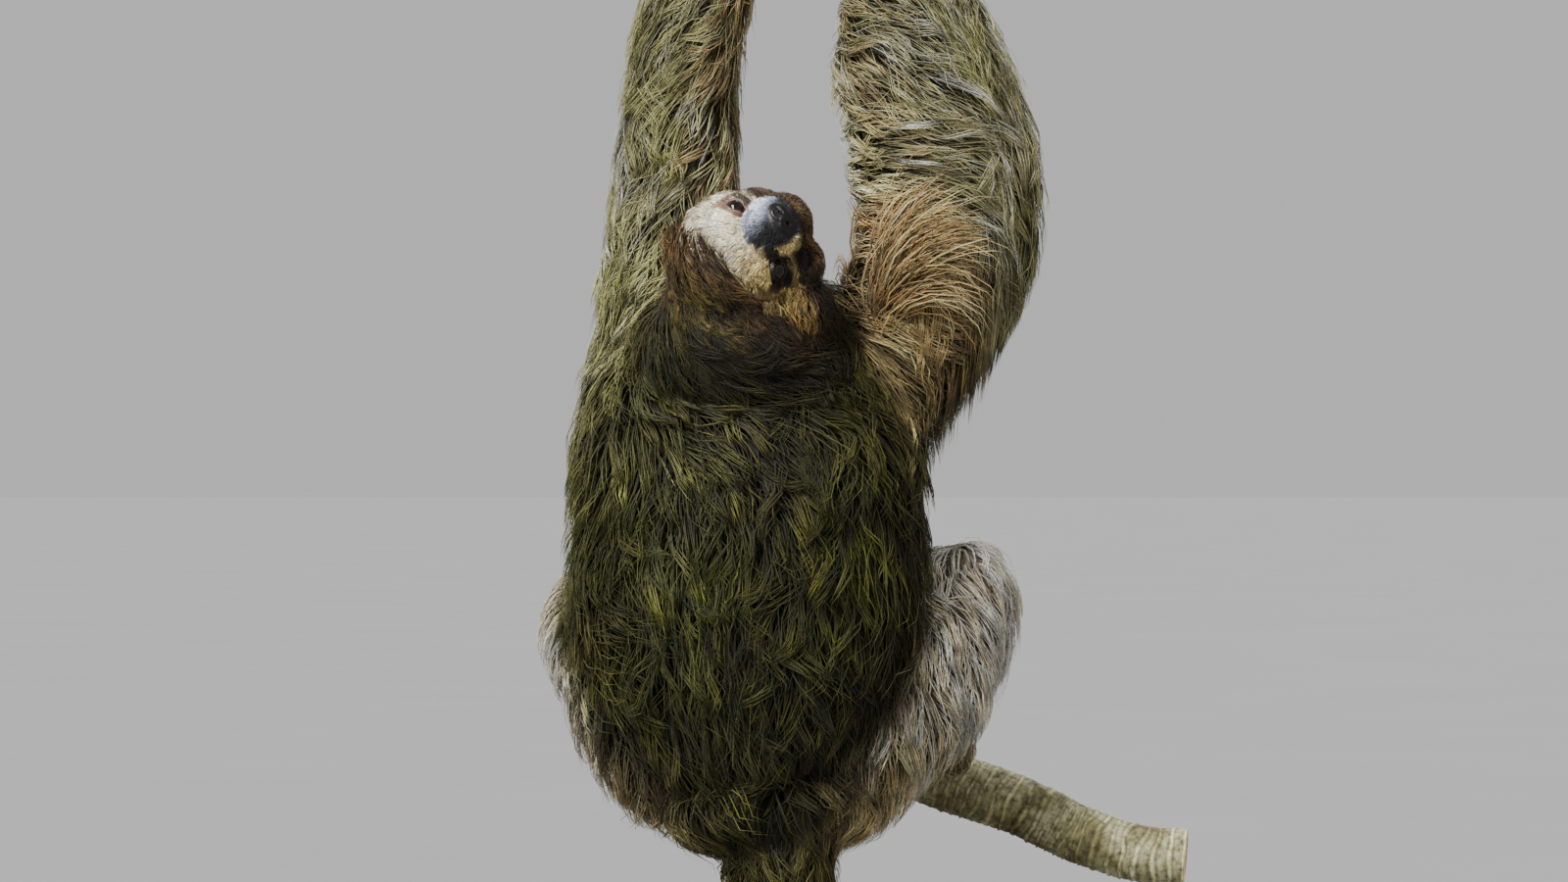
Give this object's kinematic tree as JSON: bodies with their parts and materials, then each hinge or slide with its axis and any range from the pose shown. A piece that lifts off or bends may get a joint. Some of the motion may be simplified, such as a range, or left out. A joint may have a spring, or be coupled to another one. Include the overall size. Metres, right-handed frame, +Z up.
{
  "type": "three-toed sloth model on display stand",
  "caption": "Life-size still model of a three-toed sloth hanging by its arms with its head tipped back, on a display stand with cut perches.",
  "frame": {"origin": "on the underside of the stand's base, below the body", "axes": "+Z up; the animal's back faces -Y, its belly +Y, its left side -X"},
  "size_m": [0.3757, 0.27, 0.7347],
  "materials": {
    "coat": "long shaggy hair, olive brown with dull green",
    "head_coat": "short dense hair, pale brow band and dark mask",
    "ear": "thin bare skin",
    "eye": "wet and glossy, dark brown",
    "nose": "moist blue-black skin",
    "claw": "horn, faint lengthwise lines",
    "bark": "rough grey bark with ring scars",
    "stand": "satin black",
    "rod": "satin"
  },
  "bodies": {
    "root": {"arm_left_fore": "coat", "arm_left_upper": "coat", "arm_right_fore": "coat", "arm_right_upper": "coat", "foot_left": "coat", "foot_right": "coat", "hand_left": "coat", "hand_right": "coat", "leg_left_shin": "coat", "leg_left_thigh": "coat", "leg_right_shin": "coat", "leg_right_thigh": "coat", "neck": "coat", "tail": "coat", "torso": "coat", "head": "head_coat", "ear_left": "ear", "ear_right": "ear", "eye_left": "eye", "eye_right": "eye", "nose": "nose", "foot_left_claw_1": "claw", "foot_left_claw_2": "claw", "foot_left_claw_3": "claw", "foot_right_claw_1": "claw", "foot_right_claw_2": "claw", "foot_right_claw_3": "claw", "hand_left_claw_1": "claw", "hand_left_claw_2": "claw", "hand_left_claw_3": "claw", "hand_right_claw_1": "claw", "hand_right_claw_2": "claw", "hand_right_claw_3": "claw", "perch_high": "bark", "perch_low": "bark", "stand_base": "stand", "stand_rod_body": "rod", "stand_rod_perch": "rod"}
  },
  "joints": []
}
